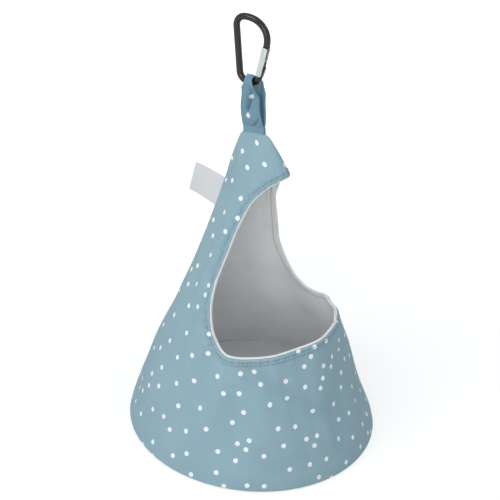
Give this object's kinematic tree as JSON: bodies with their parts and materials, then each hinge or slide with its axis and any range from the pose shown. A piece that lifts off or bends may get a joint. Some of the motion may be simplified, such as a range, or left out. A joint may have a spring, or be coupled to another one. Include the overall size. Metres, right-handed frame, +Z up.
{
  "type": "peg bag",
  "caption": "Cone-shaped lined cloth bag with a round stiffened base, a hooded front opening, a hanging loop and a snap hook with a sprung gate.",
  "frame": {"origin": "centre of the round base, on its underside", "axes": "+Z up, the opening faces -Y, the label and back seam are at +Y, +X to the bag's own left"},
  "size_m": [0.1988, 0.1989, 0.3378],
  "materials": {
    "dotted_cloth": "smooth coated cotton, grey blue with scattered round white dots",
    "lining_cloth": "plain matt pale grey white cotton",
    "stiffener_board": "plain matt board, hidden",
    "label_ribbon": "smooth woven ribbon, off white, bare",
    "black_metal": "black anodised, satin gloss",
    "silver_metal": "bright satin",
    "spring_steel": "drawn wire"
  },
  "bodies": {
    "bag": {"outer_body": "dotted_cloth", "body_lining": "lining_cloth", "outer_base": "dotted_cloth", "base_stiffener": "stiffener_board", "base_lining": "lining_cloth", "side_label": "label_ribbon"},
    "loop": {"hanging_loop": "dotted_cloth"},
    "carabiner": {"carabiner_frame": "black_metal", "gate_rivet": "silver_metal"},
    "gate": {"carabiner_gate": "silver_metal", "gate_spring": "spring_steel"}
  },
  "joints": [
    {"name": "loop_fold", "type": "hinge", "parent": "bag", "child": "loop", "pos_m": [0, 0.01833, 0.25107], "axis": [0, 0.9877, -0.1564], "range_deg": [-90, 90]},
    {"name": "carabiner_swing", "type": "hinge", "parent": "loop", "child": "carabiner", "pos_m": [0, 0.02484, 0.2871], "axis": [0, 0.9877, -0.1564], "range_deg": [-90, 90]},
    {"name": "gate_open", "type": "hinge", "parent": "carabiner", "child": "gate", "pos_m": [0, 0.01711, 0.29575], "axis": [-1, 0, 0], "range_deg": [0, 45], "stiffness_Nm_per_rad": 0.06, "springref_deg": -28.65, "deforming": ["gate_spring"]}
  ]
}
